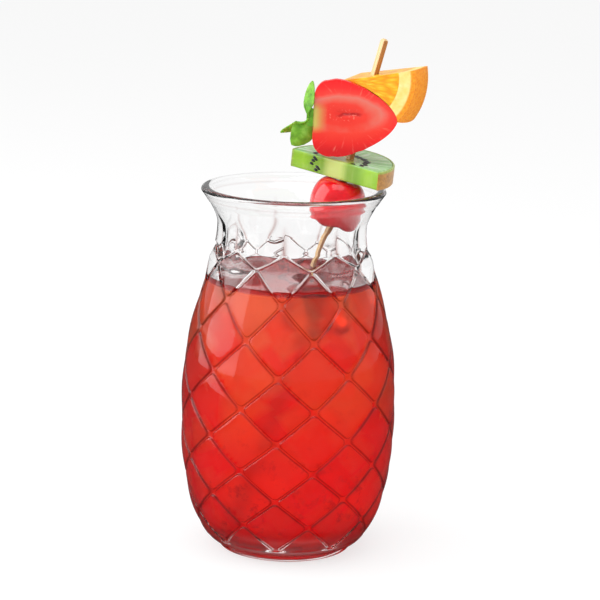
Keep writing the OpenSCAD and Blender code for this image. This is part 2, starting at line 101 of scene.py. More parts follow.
# Meshes
def add_piece(name, points, faces, place=None, sharp=None):
    """Makes a piece in its own place; the attribute "local" keeps its points' own places."""
    points = np.asarray(points, dtype=float) * MM
    mesh = bpy.data.meshes.new(name)
    mesh.from_pydata(points.tolist(), [], faces)
    own = mesh.attributes.new("local", "FLOAT_VECTOR", "POINT")
    own.data.foreach_set("vector", points.ravel())
    mesh.validate()
    if place is not None:
        mesh.transform(place)
    mesh.polygons.foreach_set("use_smooth", [True] * len(mesh.polygons))
    if sharp is not None:
        mesh.set_sharp_from_angle(angle=math.radians(sharp))
    mesh.update()
    piece = bpy.data.objects.new(name, mesh)
    scene.collection.objects.link(piece)
    return piece


def loft(rows, start=None, end=None, split=False):
    """Skins rows of points that have the same count, with a pole at either end if given."""
    count = len(rows[0])
    points = np.concatenate(rows)
    faces = []
    for i in range(len(rows) - 1):
        a = i * count
        b = a + count
        for c in range(count):
            d = (c + 1) % count
            if split:
                faces.append((a + c, a + d, b + d))
                faces.append((a + c, b + d, b + c))
            else:
                faces.append((a + c, a + d, b + d, b + c))
    if start is not None:
        pole = len(points)
        points = np.concatenate([points, [start]])
        faces += [((c + 1) % count, c, pole) for c in range(count)]
    if end is not None:
        pole = len(points)
        points = np.concatenate([points, [end]])
        a = (len(rows) - 1) * count
        faces += [(a + c, a + (c + 1) % count, pole) for c in range(count)]
    return points, faces


def gather(shapes):
    """Puts several shapes, each with its points and faces, together as one."""
    points = []
    faces = []
    for more, more_faces in shapes:
        start = len(points)
        points += [tuple(point) for point in more]
        faces += [tuple(start + i for i in face) for face in more_faces]
    return points, faces


def add_values(piece, name, values):
    """Gives each point of a piece a value that a material can read."""
    piece.data.attributes.new(name, "FLOAT", "POINT").data.foreach_set("value", values)


def ring(r, z, angles):
    return np.stack([r * np.cos(angles), r * np.sin(angles), z + 0 * angles], axis=1)


def place_mm(x, y, z):
    return Matrix.Translation(Vector((x, y, z)) * MM)


# Node helpers
def srgb(r, g, b):
    def linear(v):
        v = v / 255
        return v / 12.92 if v <= 0.04045 else ((v + 0.055) / 1.055) ** 2.4
    return (linear(r), linear(g), linear(b), 1.0)


class Nodes:
    """A node tree, emptied, and what adds to it."""

    def __init__(self, tree):
        self.tree = tree
        tree.nodes.clear()

    def new(self, kind):
        return self.tree.nodes.new(kind)

    def put(self, socket, value):
        if isinstance(value, bpy.types.NodeSocket):
            self.tree.links.new(value, socket)
        else:
            socket.default_value = value

    def fill(self, node, *values):
        for socket, value in zip(node.inputs, values):
            self.put(socket, value)
        return node.outputs[0]

    def math(self, op, a, b=0.0):
        n = self.new("ShaderNodeMath")
        n.operation = op
        return self.fill(n, a, b)

    def plus(self, a, b):
        return self.math("ADD", a, b)

    def minus(self, a, b):
        return self.math("SUBTRACT", a, b)

    def times(self, a, b):
        return self.math("MULTIPLY", a, b)

    def span(self, value, low, high, to_low=0.0, to_high=1.0):
        """Carries the range from low to high over to another, and no further."""
        n = self.new("ShaderNodeMapRange")
        n.clamp = True
        return self.fill(n, value, low, high, to_low, to_high)


class Paint(Nodes):
    """A material with a Principled shader."""

    def __init__(self, name):
        self.material = bpy.data.materials.new(name)
        self.material.use_nodes = True
        super().__init__(self.material.node_tree)
        self.out = self.new("ShaderNodeOutputMaterial")
        self.shader = self.new("ShaderNodeBsdfPrincipled")
        self.put(self.out.inputs["Surface"], self.shader.outputs[0])
        self.where = self.attribute("local", "Vector")

    def set(self, **values):
        for key, value in values.items():
            self.put(self.shader.inputs[key.replace("_", " ")], value)
        return self

    def attribute(self, name, output="Fac"):
        n = self.new("ShaderNodeAttribute")
        n.attribute_name = name
        return n.outputs[output]

    def split(self):
        n = self.new("ShaderNodeSeparateXYZ")
        self.put(n.inputs[0], self.where)
        return n.outputs[0], n.outputs[1], n.outputs[2]

    def merge(self, x, y, z):
        return self.fill(self.new("ShaderNodeCombineXYZ"), x, y, z)

    def stretch(self, *pairs):
        """A vector of three values, each times its own factor."""
        return self.merge(*[self.times(value, factor) for value, factor in pairs])

    def noise(self, scale, detail=3.0, rough=0.5, vector=None, distortion=0.0):
        n = self.new("ShaderNodeTexNoise")
        self.put(n.inputs["Vector"], vector or self.where)
        n.inputs["Scale"].default_value = scale
        n.inputs["Detail"].default_value = detail
        n.inputs["Roughness"].default_value = rough
        n.inputs["Distortion"].default_value = distortion
        return n.outputs[0]

    def cells(self, scale, vector=None, jitter=1.0, metric="EUCLIDEAN"):
        n = self.new("ShaderNodeTexVoronoi")
        n.distance = metric
        self.put(n.inputs["Vector"], vector or self.where)
        n.inputs["Scale"].default_value = scale
        n.inputs["Randomness"].default_value = jitter
        return n.outputs["Distance"]

    def ramp(self, factor, stops):
        n = self.new("ShaderNodeValToRGB")
        self.put(n.inputs[0], factor)
        marks = n.color_ramp.elements
        while len(marks) < len(stops):
            marks.new(0.5)
        for mark, (at, _) in zip(marks, stops):
            mark.position = at
        for mark, (_, colour) in zip(marks, stops):
            mark.color = colour
        return n.outputs[0]

    def mix(self, factor, a, b):
        n = self.new("ShaderNodeMix")
        n.data_type = "RGBA"
        self.put(n.inputs[0], factor)
        self.put(n.inputs[6], a)
        self.put(n.inputs[7], b)
        return n.outputs[2]

    def bump(self, height, strength, distance):
        n = self.new("ShaderNodeBump")
        n.inputs["Strength"].default_value = strength
        n.inputs["Distance"].default_value = distance
        self.put(n.inputs["Height"], height)
        return n.outputs[0]

    def radius(self, *parts):
        total = self.times(parts[0], parts[0])
        for part in parts[1:]:
            total = self.plus(total, self.times(part, part))
        return self.math("SQRT", total)

    def on(self, *pieces):
        for piece in pieces:
            piece.data.materials.clear()
            piece.data.materials.append(self.material)
        return self


# Glass: one closed skin whose mesh lines follow the grooves
QUILT_LEVELS = 8
TOP_LEVEL = QUILT_LEVELS + 2
CELL_W = math.pi * 2 * BELLY_R / DIAMONDS
CELL_H = 2 * (COLLAR_LOW - QUILT_Z) / QUILT_LEVELS
GROOVE = GROOVE_W / 2 * math.hypot(CELL_W, CELL_H) / (CELL_W * CELL_H)
HALF_CUTS = [0, 0.25 * GROOVE, 0.5 * GROOVE, 0.75 * GROOVE, GROOVE, 0.085, 0.13, 0.2, 0.29, 0.39]
CUTS = np.array(HALF_CUTS + [0.5] + [1 - c for c in HALF_CUTS[:0:-1]])
STEPS = len(CUTS)
COLUMNS = np.arange(DIAMONDS * STEPS)
HALF_TURN = 180 / DIAMONDS
LATTICE_ROWS, NECK_ROWS, LIP_ROWS, WALL_ROWS, FLOOR_ROWS = TOP_LEVEL * STEPS, 30, 6, 60, 20
CORNER, KITE_RISE, FLUTE_DEPTH, SKIN_INSET, FOOT_RING = 0.13, 0.9, 1.4 * SCALLOP, 0.15, 6.0
BEAD, BEAD_Z, BEAD_RISE, BEAD_ROW, BEAD_SHADE = 0.3, 139.6, 1.1, 26, 0.3


def lattice(i):
    return np.floor_divide(i, STEPS) + CUTS[np.mod(i, STEPS)]


def level_z(n):
    t = n / QUILT_LEVELS
    low = QUILT_Z + (COLLAR_LOW - QUILT_Z) * (0.86 * t + 0.14 * t * t)
    mid = COLLAR_LOW + (COLLAR_MID - COLLAR_LOW) * (n - QUILT_LEVELS)
    top = COLLAR_MID + (COLLAR_TOP - COLLAR_MID) * (n - QUILT_LEVELS - 1)
    return np.where(n <= QUILT_LEVELS, low, np.where(n <= QUILT_LEVELS + 1, mid, top))


def scallop_at(turn, z):
    up = ease(unit((z - COLLAR_MID) / (COLLAR_TOP - COLLAR_MID)))
    top = NECK_Z + 0.45 * (HEIGHT - NECK_Z)
    fade = 1 - ease(unit((z - COLLAR_TOP) / (top - COLLAR_TOP)))
    across = np.mod(turn / HALF_TURN, 2) - 1
    flute = 0.5 * (1 - across ** 2) + 0.5 * (0.5 + 0.5 * np.cos(across * math.pi))
    return FLUTE_DEPTH * flute * up * fade


def swell(a):
    return 1 - (1 - 2 * a) ** 2


def off_line(p):
    return np.abs(p - np.round(p))


def edge_at(p, q):
    """0 in the middle of a groove, 1 on the faces."""
    a = off_line(p)
    b = off_line(q)
    near = (a < CORNER) & (b < CORNER)
    inside = np.where(near, CORNER - np.hypot(CORNER - a, CORNER - b), np.minimum(a, b))
    return ease(unit(inside / GROOVE))


def relief(p, q, turn, z):
    """How far the skin stands out: pillowed faces, then the kites, then the fluted neck."""
    a = off_line(p)
    b = off_line(q)
    edge = edge_at(p, q)
    row = np.floor(p + 0.001) + np.floor(q + 0.001)
    tile = -GROOVE_DEPTH * (1 - edge) - PILLOW * (1 - swell(a) * swell(b))
    tile = tile + np.where(row == QUILT_LEVELS, KITE_RISE * np.minimum(a, b) * 2, 0)
    neck = -(GROOVE_DEPTH + PILLOW) * (1 - edge) - scallop_at(turn, z) * edge
    return np.where(row > QUILT_LEVELS, neck, tile)


def lip_bead(z):
    return BEAD * ease(unit((z - BEAD_Z) / BEAD_RISE))


def glass_angles(k):
    return (lattice(COLUMNS) - lattice(k - COLUMNS)) * HALF_TURN


def to_angle(turn):
    return np.radians(turn + PATTERN_TURN - 90)


def glass_rows():
    rows = []
    base = to_angle(glass_angles(0))
    hollow_r = FOOT_R - FOOT_RING
    dome = (hollow_r ** 2 + HOLLOW ** 2) / (2 * HOLLOW)
    for r in (2.5, 7, 12, 16, 19, 20.1):
        rows.append(ring(r, HOLLOW - dome + math.sqrt(dome ** 2 - r ** 2), base))
    for r, z in ((20.6, 0.02), (21.4, 0), (23.5, 0), (25.4, 0), (25.75, 0.05), (26.1, 0.18), (26.35, 0.42),
                 (26.48, 0.75), (26.5, 1.2), (26.5, 1.9), (26.45, 2.35)):
        rows.append(ring(r, z, base))
    for t in (0.06, 0.14, 0.28, 0.45, 0.62, 0.78, 0.92):
        z = FOOT_H + (QUILT_Z - FOOT_H) * t
        rows.append(ring(body_r(z) - PILLOW * t, z, base))
    quilt_start = len(rows)
    for k in range(LATTICE_ROWS + 1):
        p = lattice(COLUMNS)
        q = lattice(k - COLUMNS)
        z = level_z(p + q)
        turn = (p - q) * HALF_TURN
        r = body_r(z) + relief(p, q, turn, z) - SKIN_INSET
        rows.append(np.stack([r * np.cos(to_angle(turn)), r * np.sin(to_angle(turn)), z], axis=1))
    turn = glass_angles(LATTICE_ROWS)
    angles = to_angle(turn)
    for i in range(1, NECK_ROWS + 1):
        z = COLLAR_TOP + (LIP_Z - COLLAR_TOP) * i / NECK_ROWS
        rows.append(ring(body_r(z) + lip_bead(z) - scallop_at(turn, z), z, angles))
    for i in range(1, LIP_ROWS + 1):
        a = math.radians(90 * i / LIP_ROWS)
        r = LIP_R + BEAD - LIP_ROUND * (1 - math.cos(a))
        rows.append(ring(r, LIP_Z + LIP_ROUND * math.sin(a), angles))
    for i in range(LIP_ROWS, -1, -1):
        a = math.radians(90 * i / LIP_ROWS)
        r = LIP_R - WALL + LIP_ROUND * (1 - math.cos(a))
        rows.append(ring(r, LIP_Z + LIP_ROUND * math.sin(a), angles))
    for i in range(1, WALL_ROWS + 1):
        z = LIP_Z + (BOWL_Z - LIP_Z) * i / WALL_ROWS
        rows.append(ring(body_r(z) - WALL, z, angles))
    for i in range(1, FLOOR_ROWS):
        a = math.radians(90 * (1 - i / FLOOR_ROWS))
        r = BOWL_R * math.sin(a)
        rows.append(ring(r, bowl_floor(r), angles))
    return rows, quilt_start


glass_layers, quilt_start = glass_rows()
points, faces = loft(glass_layers, (0, 0, HOLLOW), (0, 0, FLOOR_T), split=True)
glass = add_piece("glass_skin", points, faces)
# The flanks of the grooves get a painted shade: dark lines that stand in for the darkness refraction gives
# them
flank = np.zeros((len(glass_layers), len(COLUMNS)))
for k in range(LATTICE_ROWS + 1):
    edge = edge_at(lattice(COLUMNS), lattice(k - COLUMNS))
    flank[quilt_start + k] = 4 * edge * (1 - edge)
# Painted shade lines also run along the creases between the flutes and fade towards the lip, and a thin
# painted dark line runs under the lip's bead
crease_shade = np.abs(np.mod(glass_angles(LATTICE_ROWS) / HALF_TURN, 2) - 1)
crease_shade = np.exp(-((1 - crease_shade) / 0.09) ** 2)
for i in range(1, NECK_ROWS + 1):
    line = BEAD_SHADE if i == BEAD_ROW else 0.0
    flank[quilt_start + LATTICE_ROWS + i] = np.maximum(0.9 * crease_shade * unit((19 - i) / 16), line)
add_values(glass, "flank", np.append(flank, (0, 0)))
# Where the drink wets it; the rows of the inside and the two poles come last
wet = points[:, 2] < DRINK_Z + 0.5
wet[:len(points) - 2 - (WALL_ROWS + FLOOR_ROWS - 1) * len(COLUMNS)] = False
add_values(glass, "wet", wet.astype(float))

# Drink: it reaches a little into the wall, so that no film of air lies between them
OVERLAP, MENISCUS = 0.12, 1.2
HASH = (12.9898, 78.233, 437.585)
around = np.linspace(0, 2 * math.pi, 144, endpoint=False)


def drink_rows():
    rows = []
    for i in range(1, FLOOR_ROWS + 1):
        a = math.radians(90 * i / FLOOR_ROWS)
        r = (BOWL_R + OVERLAP) * math.sin(a)
        z = bowl_floor(BOWL_R * math.sin(a)) - OVERLAP * math.cos(a)
        rows.append(ring(r, z, around))
    for i in range(1, WALL_ROWS + 1):
        z = BOWL_Z + (DRINK_Z + MENISCUS - BOWL_Z) * i / WALL_ROWS
        rows.append(ring(float(inner_r(z)) + OVERLAP, z, around))
    edge = float(inner_r(DRINK_Z + MENISCUS)) + OVERLAP
    for inset in (0.25, 0.6, 1.1, 1.8, 2.8, 4.5, 8, 12, 16, 20, 24, 28):
        if edge - inset > 1:
            rows.append(ring(edge - inset, DRINK_Z + 1.1 * math.exp(-inset / 0.9), around))
    return rows


points, faces = loft(drink_rows(), (0, 0, FLOOR_T - OVERLAP), (0, 0, DRINK_Z))
drink = add_piece("drink_body", points, faces)
# Each diamond gathers the light of another bit of ice, so the drink behind each is painted a lighter or
# darker tone of its own, painted light and shade
levels = np.linspace(0, TOP_LEVEL, 401)
level = np.interp(points[:, 2], level_z(levels), levels)
turn = np.degrees(np.arctan2(points[:, 1], points[:, 0])) + 90 - PATTERN_TURN
turn = np.mod(turn, 360) / HALF_TURN
pane_p = np.floor((level + turn) / 2)
pane_q = np.floor((level - turn) / 2)
pane_turn = np.mod(pane_p - pane_q, 2 * DIAMONDS)
pane_light_and_shade = np.mod(np.sin((pane_p + pane_q) * HASH[0] + pane_turn * HASH[1]) * HASH[2], 1.0)
add_values(drink, "pane_light_and_shade", pane_light_and_shade)


# Ice: cubes with melted edges
def ice_points(count, seed):
    side = np.linspace(-1, 1, count + 1)
    rows = []
    faces = []
    for axis in range(3):
        for sign in (-1, 1):
            start = len(rows)
            for u in side:
                for v in side:
                    point = [0, 0, 0]
                    point[axis] = sign
                    point[(axis + 1) % 3] = math.tan(u * math.pi / 4)
                    point[(axis + 2) % 3] = math.tan(v * math.pi / 4)
                    rows.append(point)
            for i in range(count):
                for j in range(count):
                    a = start + i * (count + 1) + j
                    quad = (a, a + count + 1, a + count + 2, a + 1)
                    faces.append(quad if sign > 0 else quad[::-1])
    points = np.array(rows, dtype=float)
    points *= ((np.abs(points) ** 5).sum(axis=1) ** (-1 / 5))[:, None]
    out = []
    for point in points:
        wave = noise.noise(Vector(point * 1.3) + Vector((seed * 7.1, 0, 0)))
        fine = noise.noise(Vector(point * 3.1) + Vector((0, seed * 5.3, 0)))
        out.append(point * (ICE_SIZE / 2) * (0.955 + 0.035 * wave + 0.012 * fine))
    return np.array(out), faces


def weld(piece, distance=0.00002):
    mesh = bmesh.new()
    mesh.from_mesh(piece.data)
    bmesh.ops.remove_doubles(mesh, verts=mesh.verts, dist=distance)
    bmesh.ops.recalc_face_normals(mesh, faces=mesh.faces)
    mesh.to_mesh(piece.data)
    mesh.free()


ICE_TURNS, ICE_TILTS, ICE_STEPS = (0, 55, 60, 60), (4, 4, 4, 1.2), 14
ICE_LOW_Z = FLOOR_T + 7 + ICE_SIZE / 2
ICE_TOP_Z = DRINK_Z + ICE_ABOVE - ICE_SIZE / 2
ice = []
for i in range(1, 13):
    layer = (i - 1) // 3
    z = ICE_LOW_Z + (ICE_TOP_Z - ICE_LOW_Z) * layer / 3
    room = min(float(inner_r(z - ICE_SIZE * 0.35)), float(inner_r(z + ICE_SIZE * 0.35)))
    out = room - ICE_SIZE * 0.55 - 0.7
    tilt_x = ICE_TILTS[layer] * math.sin(math.radians(137 * i))
    tilt_y = ICE_TILTS[layer] * math.sin(math.radians(137 * (i + 5)))
    turn = math.radians(ICE_TURNS[layer] + 120 * (i - 1))
    place = (Matrix.Rotation(turn, 4, "Z") @ place_mm(out, 0, z)
             @ Matrix.Rotation(math.radians(tilt_y), 4, "Y") @ Matrix.Rotation(math.radians(tilt_x), 4, "X"))
    points, faces = ice_points(ICE_STEPS, i)
    cube = add_piece("ice_block_%d" % i, points, faces, place)
    weld(cube)
    ice.append(cube)

# Places along the pick
LEAN = math.radians(PICK_LEAN)
CHERRY_X = float(body_r(NECK_Z + 0.6 * (HEIGHT - NECK_Z))) - WALL - CHERRY_D / 2 - CHERRY_ROOM
CHERRY_DROP = REST_GAP + CHERRY_H / 2
CHERRY_Z = HEIGHT + REST_GAP - (CHERRY_DROP + (CHERRY_X - LIP_R) * math.sin(LEAN)) / math.cos(LEAN)


def lean_x(z):
    return CHERRY_X - (CHERRY_Z - z) * math.tan(LEAN)


foot_guess = float(bowl_floor(abs(lean_x(FLOOR_T))))
PICK_FOOT_Z = float(bowl_floor(abs(lean_x(foot_guess)) + PICK_W / 2)) + REST_GAP
PICK_FOOT_X = lean_x(PICK_FOOT_Z)
CHERRY_S = (CHERRY_Z - PICK_FOOT_Z) / math.cos(LEAN) - CHERRY_SINK


def on_pick(s):
    return place_mm(PICK_FOOT_X, 0, PICK_FOOT_Z) @ Matrix.Rotation(LEAN, 4, "Y") @ place_mm(0, 0, s)


def cherry_rise(a):
    return np.sin(a) - 0.18 * np.sign(a) * np.abs(np.sin(a)) ** 8


def cherry_profile(step):
    a = np.radians(np.arange(-90, 91, step))
    peak = cherry_rise(a).max()
    return CHERRY_D / 2 * np.maximum(np.cos(a), 0) ** 0.8, CHERRY_H / 2 * cherry_rise(a) / peak


# The kiwi lies askew on the cherry, the berry stands over it, and the orange is pressed onto the berry
KIWI_LIE = (Matrix.Rotation(-KIWI_TURN, 4, "Z") @ Matrix.Rotation(KIWI_TILT, 4, "X")
            @ Matrix.Rotation(-KIWI_ROLL, 4, "Y"))
kiwi_u, kiwi_v, kiwi_n = [np.array(KIWI_LIE.col[i][:3]) for i in range(3)]


def kiwi_face(x, y, up):
    return (up - kiwi_n[0] * x - kiwi_n[1] * y) / kiwi_n[2]


r, z = cherry_profile(9)
a = np.radians(np.arange(0, 360, 15))[:, None]
KIWI_S = CHERRY_S + REST_GAP / kiwi_n[2] + float((z - kiwi_face(r * np.cos(a), r * np.sin(a), 0)).max())

KNOTS = np.array([[1.5, 4], [-0.078 * BERRY_L, 1.71 * BERRY_R], [0.942 * BERRY_L, 0.7 * BERRY_R],
                  [BERRY_L, 0]])
SLOPE = math.radians(BERRY_SLOPE)
BERRY_STEPS = 60


def berry_outline(steps):
    t = np.linspace(0, 1, steps + 1)[:, None]
    return ((1 - t) ** 3 * KNOTS[0] + 3 * t * (1 - t) ** 2 * KNOTS[1]
            + 3 * t * t * (1 - t) * KNOTS[2] + t ** 3 * KNOTS[3])


def berry_points(outline, grow):
    """Points of the berry as they lie round the pick."""
    a = np.radians(np.arange(0, 181, 15))
    points = []
    for x, w in outline:
        y = (w + grow) * np.sin(a)
        z = (w + grow) * np.cos(a)
        points.append(np.stack([-BERRY_LEAD + x * math.cos(SLOPE) - z * math.sin(SLOPE), y - BERRY_CUT,
                                x * math.sin(SLOPE) + z * math.cos(SLOPE)], axis=1))
    return np.concatenate(points)


BERRY = berry_outline(BERRY_STEPS)
coarse = berry_points(berry_outline(18), 0)
on_top = np.column_stack([coarse[:, :2], kiwi_face(coarse[:, 0], coarse[:, 1], KIWI_T)])
u = on_top @ kiwi_u + KIWI_SIDE
v = on_top @ kiwi_v + KIWI_BACK
held = (v > -KIWI_AHEAD - 1) & (np.hypot(u, v) < KIWI_D / 2 + 1)
BERRY_S = KIWI_S + BERRY_REST + float((on_top[:, 2] - coarse[:, 2])[held].max())
WEDGE = math.radians(ORANGE_HALF)
u = coarse[:, 0] * math.cos(ORANGE_TURN) - coarse[:, 1] * math.sin(ORANGE_TURN) - ORANGE_CORE[0]
v = coarse[:, 0] * math.sin(ORANGE_TURN) + coarse[:, 1] * math.cos(ORANGE_TURN) - ORANGE_CORE[1]
under = (u > -0.5) & (v > -ORANGE_FRONT - 0.5) & (v < ORANGE_DEPTH - ORANGE_FRONT + 0.5)
ORANGE_S = (BERRY_S - ORANGE_PRESS + REST_GAP / math.cos(WEDGE)
            + float((coarse[:, 2] + u * math.tan(WEDGE))[under].max()))

# Pick
side = PICK_W / 2
bevel = side - 0.25
square = np.array([[side, bevel], [bevel, side], [-bevel, side], [-side, bevel],
                   [-side, -bevel], [-bevel, -side], [bevel, -side], [side, -bevel]])
along = [0, 1.2, 2.5, 3.8, 5] + list(np.linspace(9, PICK_L - 1.2, 40))
along += [PICK_L - b for b in (0.7, 0.35, 0.1, 0)]
rows = []
for s in along:
    share = min(1.0, 0.34 + 0.66 * s / PICK_POINT)
    if s > PICK_L - 1:
        share = math.sqrt(max(0.25, 1 - ((s - PICK_L + 1) / 1.05) ** 2))
    wave = 1 - 0.03 * abs(noise.noise(Vector((s * 0.08, 3.3, 0))))
    rows.append(np.column_stack([square * share * wave, np.full(len(square), s)]))
points, faces = loft(rows, (0, 0, 0), (0, 0, PICK_L))
pick_place = on_pick(0) @ Matrix.Rotation(math.radians(PICK_TURN), 4, "Z")
pick = add_piece("pick_stick", points, faces, pick_place, 30)

# Cherry
turns = np.linspace(0, 2 * math.pi, 72, endpoint=False)
rows = []
for r, z in list(zip(*cherry_profile(3)))[1:-1]:
    dents = np.array([noise.noise(Vector((math.cos(w), math.sin(w), z * 0.1))) for w in turns])
    rows.append(ring(r * (0.988 - 0.012 * dents), z, turns))
top = cherry_profile(3)[1][-1]
points, faces = loft(rows, (0, 0, -top), (0, 0, top))
cherry = add_piece("cherry_body", points, faces, on_pick(CHERRY_S))

# Kiwi slice: a half round with eased edges, its skin round the back
kiwi_place = on_pick(KIWI_S) @ KIWI_LIE @ place_mm(-KIWI_SIDE, -KIWI_BACK, 0)
KIWI_R = KIWI_D / 2


def slice_arc(r, count):
    start = -math.asin(KIWI_AHEAD / r)
    return np.linspace(start, math.pi - start, count)


def slice_outline(r, arc=80, cut=64):
    a = slice_arc(r, arc)
    curve = np.stack([r * np.cos(a), r * np.sin(a)], axis=1)
    x = np.linspace(curve[-1, 0], curve[0, 0], cut + 2)[1:-1]
    return np.concatenate([curve, np.stack([x, 0 * x - KIWI_AHEAD], axis=1)])


def slab(outline, thick, centre, eased):
    """A flat piece with eased edges, its rows running from the middle below to the middle above."""
    edge = ((0.0, eased), (eased * 0.13, eased * 0.5), (eased * 0.5, eased * 0.13))
    low = [(0.0, share) for share in (0.15, 0.4, 0.65, 0.85)] + [(z, 1 - inset / 12) for z, inset in edge]
    upright = [(z, 1.0) for z in np.linspace(eased, thick - eased, 9)]
    high = [(thick - z, scale) for z, scale in low[::-1]]
    rows = []
    for z, scale in low + upright + high:
        flat = centre + (outline - centre) * scale
        rows.append(np.column_stack([flat, np.full(len(flat), z)]))
    return loft(rows, (centre[0], centre[1], 0), (centre[0], centre[1], thick))


centre = np.array([0.0, 7.0])
points, faces = slab(slice_outline(KIWI_R - KIWI_SKIN), KIWI_T, centre, 0.5)
kiwi = add_piece("kiwi_slice", points, faces, kiwi_place, 60)

rows = []
for r, z in ((KIWI_R - KIWI_SKIN, 0.05), (KIWI_R - 0.3, 0.05), (KIWI_R, 0.4), (KIWI_R, KIWI_T - 0.4),
             (KIWI_R - 0.3, KIWI_T - 0.05), (KIWI_R - KIWI_SKIN, KIWI_T - 0.05)):
    rows.append(ring(r, z, slice_arc(r, 90)))
points, faces = loft(np.stack(rows, axis=1))
ends = [tuple(range(6)), tuple(range(len(points) - 1, len(points) - 7, -1))]
kiwi_skin = add_piece("kiwi_rind", points, faces + ends, kiwi_place, 40)
weld(kiwi_skin, 0.000001)

# Seeds: small drops, spread by the golden section
GOLDEN = 0.618
SEED_ROWS, SEED_SIDES = 6, 8
KIWI_SEEDS, KIWI_FRONT_SEEDS, BERRY_SEEDS = 34, 7, 70
SEED_SINK = 0.08


def seeds(name, spots, place):
    """Drops, each given by its place, the way that it points, its face and its three half sizes."""
    drops = []
    b = 2 * math.pi * np.arange(SEED_SIDES) / SEED_SIDES
    for at, toward, face, sizes in spots:
        at = np.array(at, dtype=float)
        x = np.array(toward, dtype=float)
        x /= np.linalg.norm(x)
        z = np.array(face, dtype=float)
        z -= x * z.dot(x)
        z /= np.linalg.norm(z)
        y = np.cross(z, x)
        rows = []
        for i in range(1, SEED_ROWS):
            a = math.pi * i / SEED_ROWS
            w = math.sin(a) * (1 - 0.3 * math.cos(a))
            rows.append(at + x * math.cos(a) * sizes[0] + np.outer(w * np.cos(b) * sizes[1], y)
                        + np.outer(w * np.sin(b) * sizes[2], z))
        points, faces = loft(rows, at + x * sizes[0], at - x * sizes[0])
        drops.append((points, [f[::-1] for f in faces]))
    points, faces = gather(drops)
    return add_piece(name, points, faces, place)


spots = []
for i in range(KIWI_SEEDS):
    angle = math.radians(-16 + 212 * ((i * GOLDEN) % 1))
    r = 7.6 + 4.4 * ((i * 0.37) % 1)
    lie = (math.cos(angle), math.sin(angle), 0)
    if r * lie[1] < 0.9 - KIWI_AHEAD:
        continue
    for z, up in ((KIWI_T, 1), (0, -1)):
        if z == 0 and i % 2:
            continue
        spots.append(((r * lie[0], r * lie[1], z - SEED_SINK * up), lie, (0, 0, up), (1.25, 0.85, 0.25)))
for i in range(KIWI_FRONT_SEEDS):
    x = -7.6 - 4.0 * ((i * 0.43) % 1)
    z = 1.0 + (KIWI_T - 1.8) * ((i * GOLDEN + 0.2) % 1)
    spots.append(((x, -KIWI_AHEAD + SEED_SINK, z), (1, 0, -0.25), (0, -1, 0), (1.05, 0.65, 0.25)))
kiwi_seeds = seeds("kiwi_seeds", spots, kiwi_place)

# Strawberry half
BACK_STEPS, FRONT_STEPS = 44, 40
berry_place = on_pick(BERRY_S) @ place_mm(-BERRY_LEAD, -BERRY_CUT, 0) @ Matrix.Rotation(-SLOPE, 4, "Y")
a = np.radians(np.linspace(5, 175, BACK_STEPS))
rows = []
for x, w in BERRY[:-1]:
    dents = np.array([noise.noise(Vector((x * 0.42, 3.1 * v, 7.7))) for v in a])
    wide = w * (1 - 0.022 * unit(0.4 + 1.6 * dents))
    back = np.stack([np.full(BACK_STEPS, x), wide * np.sin(a), wide * np.cos(a)], axis=1)
    z = np.linspace(-0.978 * wide[-1], 0.978 * wide[0], FRONT_STEPS)
    hollow = 0.9 * np.exp(-((x - 15) / 4.5) ** 4) * np.exp(-((z - 2.0) / 0.8) ** 2)
    front = np.stack([np.full(FRONT_STEPS, x), hollow, z], axis=1)
    rows.append(np.concatenate([back, front]))
points, faces = loft(rows, (1.5, 1.2, 0), (BERRY_L - 0.05, 0.1, 0))
berry = add_piece("strawberry_flesh", points, [f[::-1] for f in faces], berry_place, 55)

spots = []
for i in range(BERRY_SEEDS):
    k = int((0.06 + 0.9 * ((i + 0.5) / BERRY_SEEDS)) * BERRY_STEPS)
    x, w = BERRY[k]
    slope = BERRY[min(k + 1, BERRY_STEPS)] - BERRY[max(k - 1, 0)]
    slope = slope / np.linalg.norm(slope)
    a = math.radians(16 + 148 * ((i * GOLDEN) % 1))
    out = np.array([-slope[1], slope[0] * math.sin(a), slope[0] * math.cos(a)])
    toward = (slope[0], slope[1] * math.sin(a), slope[1] * math.cos(a))
    at = np.array([x, w * math.sin(a), w * math.cos(a)]) - out * 0.12
    spots.append((at, toward, out, (0.85, 0.5, 0.22)))
berry_seeds = seeds("strawberry_seeds", spots, berry_place)

# Calyx: a hub and five curling leaves, each with its turn, length, width, curl and twist
LEAF_STEPS = 24
LEAVES = ((14, 1.08, 0.85, -0.06, 40), (60, 0.92, 0.9, -0.1, 0), (105, 0.92, 0.9, -0.1, 0),
          (138, 1.0, 1.2, 0.92, 70), (172, 0.95, 1.5, 0.5, 75))


def leaf_mid(t, length, curl):
    return np.array([LEAF_L * length * t * math.cos(math.radians(40 * curl * t)),
                     LEAF_L * length * t * math.sin(math.radians(62 * curl * t)) + 0.3])


